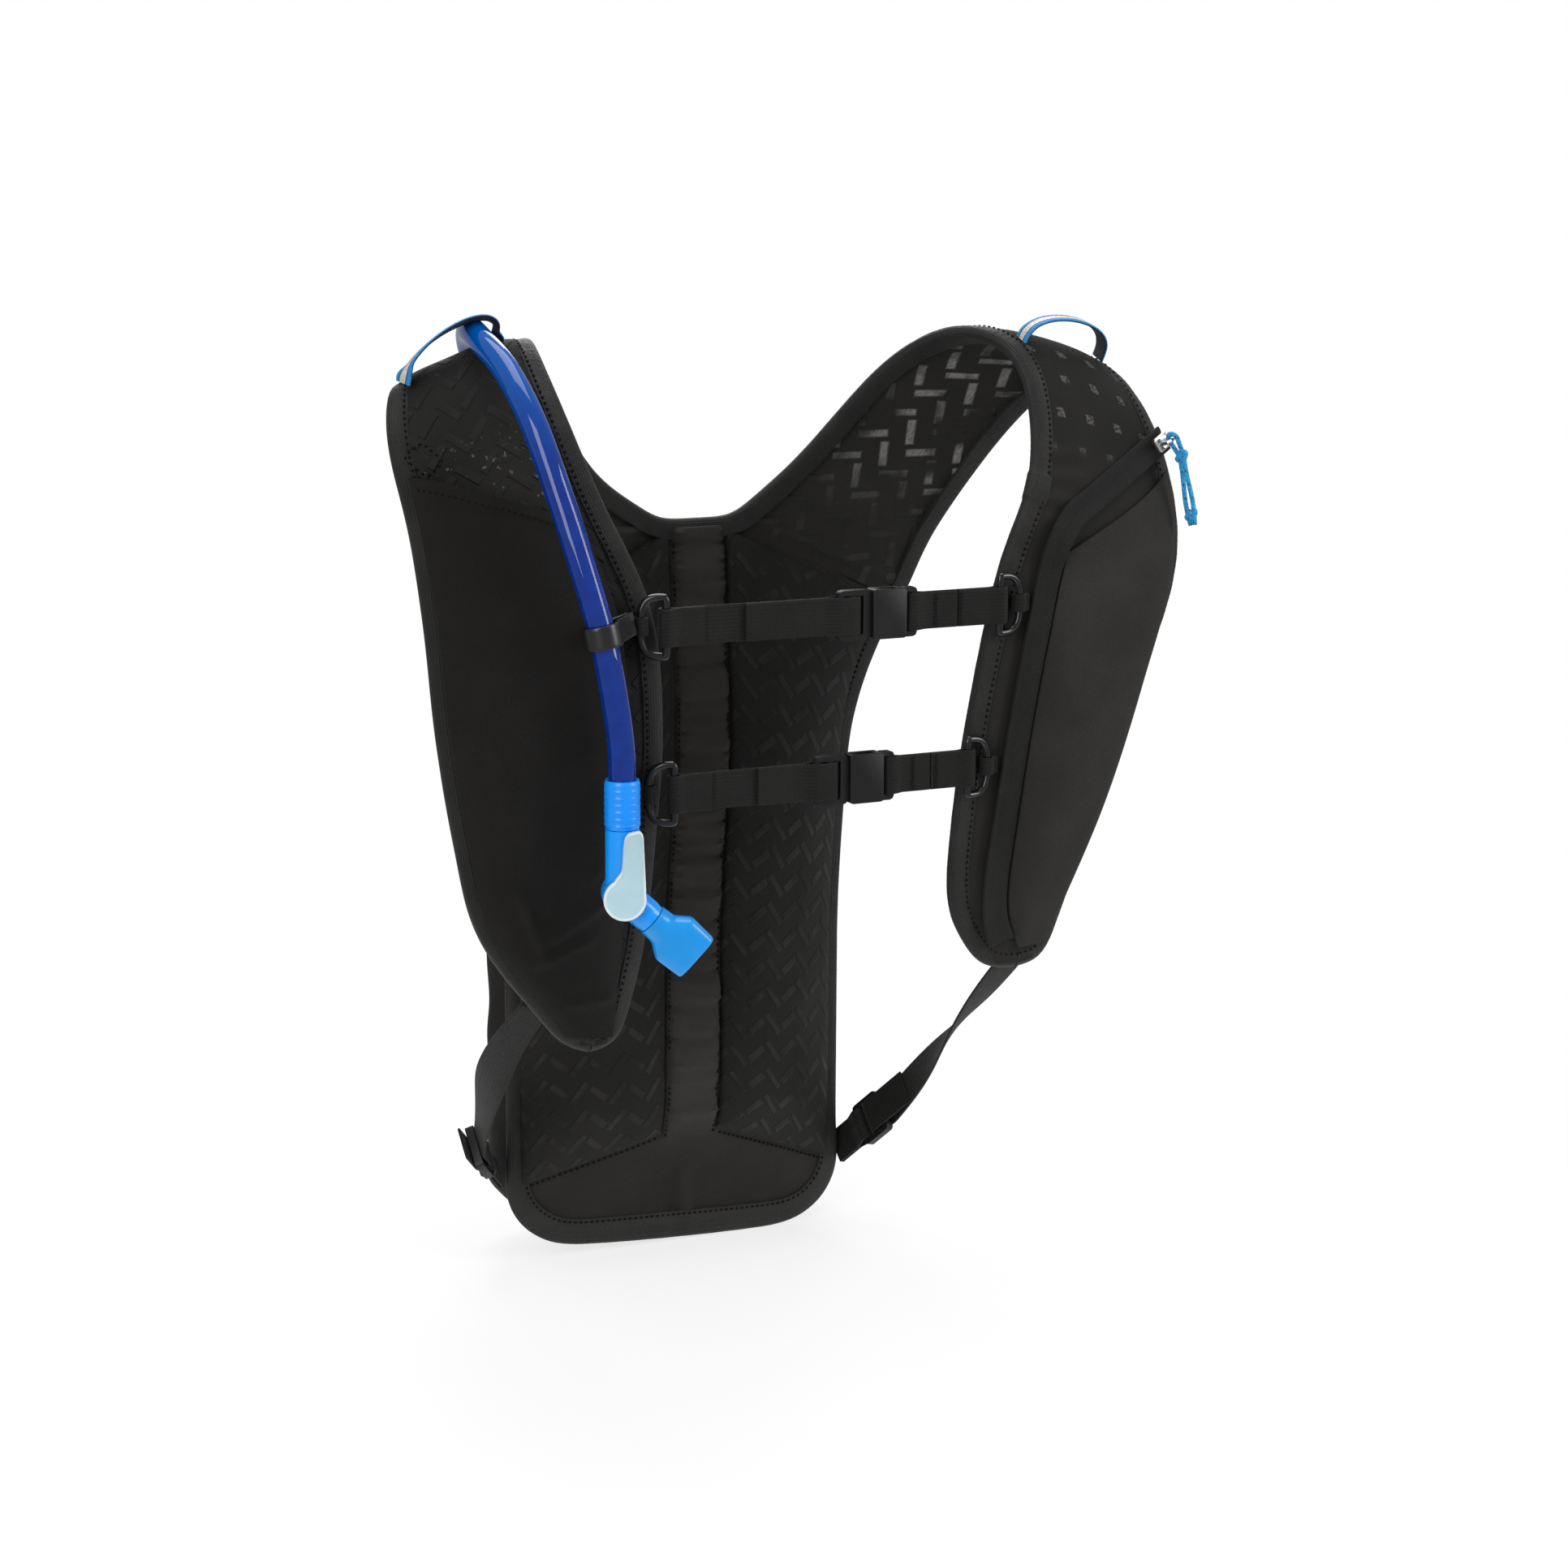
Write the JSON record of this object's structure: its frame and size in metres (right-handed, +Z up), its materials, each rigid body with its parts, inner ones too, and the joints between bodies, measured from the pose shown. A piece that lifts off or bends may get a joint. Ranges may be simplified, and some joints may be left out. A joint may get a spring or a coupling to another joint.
{
  "type": "hydration pack",
  "caption": "Vest-style hydration pack: padded mesh back, rear reservoir sleeve, pocketed shoulder straps, buckled sternum straps and a drink tube with a shut-off bite valve.",
  "frame": {"origin": "midway between the undersides of the two shoulder straps, where the pack hangs on the wearer", "axes": "+Z up, -Y the way the wearer faces, +X the wearer's left"},
  "size_m": [0.3412, 0.1984, 0.4128],
  "materials": {
    "black_fabric": "plain woven nylon",
    "mesh_fabric": "padded mesh",
    "binding_tape": "folded tape",
    "webbing": "ribbed webbing",
    "black_plastic": "gloss moulded",
    "loop_webbing": "blue-edged reflective webbing",
    "tube_blue": "translucent hose",
    "valve_blue": "gloss moulded",
    "bite_blue": "satin silicone",
    "lever_grey": "satin moulded",
    "zip_metal": "satin cast",
    "cord_blue": "flecked cord",
    "clear_film": "clear welded film",
    "white_plastic": "satin moulded",
    "gasket_rubber": "matte"
  },
  "bodies": {
    "harness": {"back_panel": "black_fabric", "reservoir_sleeve": "black_fabric", "stretch_pocket": "black_fabric", "zip_pocket": "black_fabric", "back_pad_left": "mesh_fabric", "back_pad_right": "mesh_fabric", "shoulder_strap_left": "mesh_fabric", "shoulder_strap_right": "mesh_fabric", "neck_binding": "binding_tape", "outer_binding": "binding_tape", "pocket_zip": "webbing", "hanger_tab": "webbing", "upper_ring_tab_left": "webbing", "upper_webbing_left": "webbing", "upper_ring_tab_right": "webbing", "upper_webbing_right": "webbing", "lower_ring_tab_left": "webbing", "lower_webbing_left": "webbing", "lower_ring_tab_right": "webbing", "lower_webbing_right": "webbing", "lock_tab_left": "webbing", "side_strap_left": "webbing", "lock_tab_right": "webbing", "side_strap_right": "webbing", "tube_clip": "black_plastic", "ladder_lock_left": "black_plastic", "ladder_lock_right": "black_plastic", "upper_ring_left": "black_plastic", "upper_ring_right": "black_plastic", "upper_buckle_socket": "black_plastic", "lower_ring_left": "black_plastic", "lower_ring_right": "black_plastic", "lower_buckle_socket": "black_plastic", "tube_loop_left": "loop_webbing", "tube_loop_right": "loop_webbing", "drink_tube": "tube_blue", "tube_sleeve": "valve_blue", "shutoff_body": "valve_blue", "bite_valve": "bite_blue", "reservoir_bladder": "clear_film", "fill_collar": "white_plastic", "port_fitting": "white_plastic", "tube_connector": "white_plastic", "cap_gasket": "gasket_rubber"},
    "lever": {"shutoff_lever": "lever_grey", "shutoff_core": "white_plastic"},
    "upper_plug": {"upper_buckle_plug": "black_plastic"},
    "lower_plug": {"lower_buckle_plug": "black_plastic"},
    "slider": {"zip_slider": "zip_metal"},
    "pull": {"zip_pull": "cord_blue"},
    "cap": {"screw_cap": "valve_blue"},
    "button": {"connector_button": "valve_blue"}
  },
  "joints": [
    {"name": "shutoff_turn", "type": "hinge", "parent": "harness", "child": "lever", "pos_m": [-0.094, -0.072, -0.193], "axis": [-0.3007, -0.9537, 0], "range_deg": [0, 90]},
    {"name": "upper_buckle_release", "type": "slide", "parent": "harness", "child": "upper_plug", "axis": [-1, 0, 0], "range_m": [0, 0.02], "deforming": ["upper_webbing_right"]},
    {"name": "lower_buckle_release", "type": "slide", "parent": "harness", "child": "lower_plug", "axis": [-1, 0, 0], "range_m": [0, 0.02], "deforming": ["lower_webbing_right"]},
    {"name": "zip_travel", "type": "slide", "parent": "harness", "child": "slider", "axis": [-0.8397, -0.3179, -0.4403], "range_m": [0, 0.04]},
    {"name": "pull_swing", "type": "hinge", "parent": "slider", "child": "pull", "pos_m": [0.16703, -0.0445, -0.02998], "axis": [-0.8397, -0.3179, -0.4403], "range_deg": [0, 100]},
    {"name": "cap_turn", "type": "hinge", "parent": "harness", "child": "cap", "pos_m": [0, 0.085, -0.172], "axis": [0, 1, 0], "range_deg": [0, 270]},
    {"name": "connector_press", "type": "slide", "parent": "harness", "child": "button", "axis": [0, -1, 0], "range_m": [0, 0.0015], "stiffness_N_per_m": 300, "springref_m": -0.002}
  ]
}
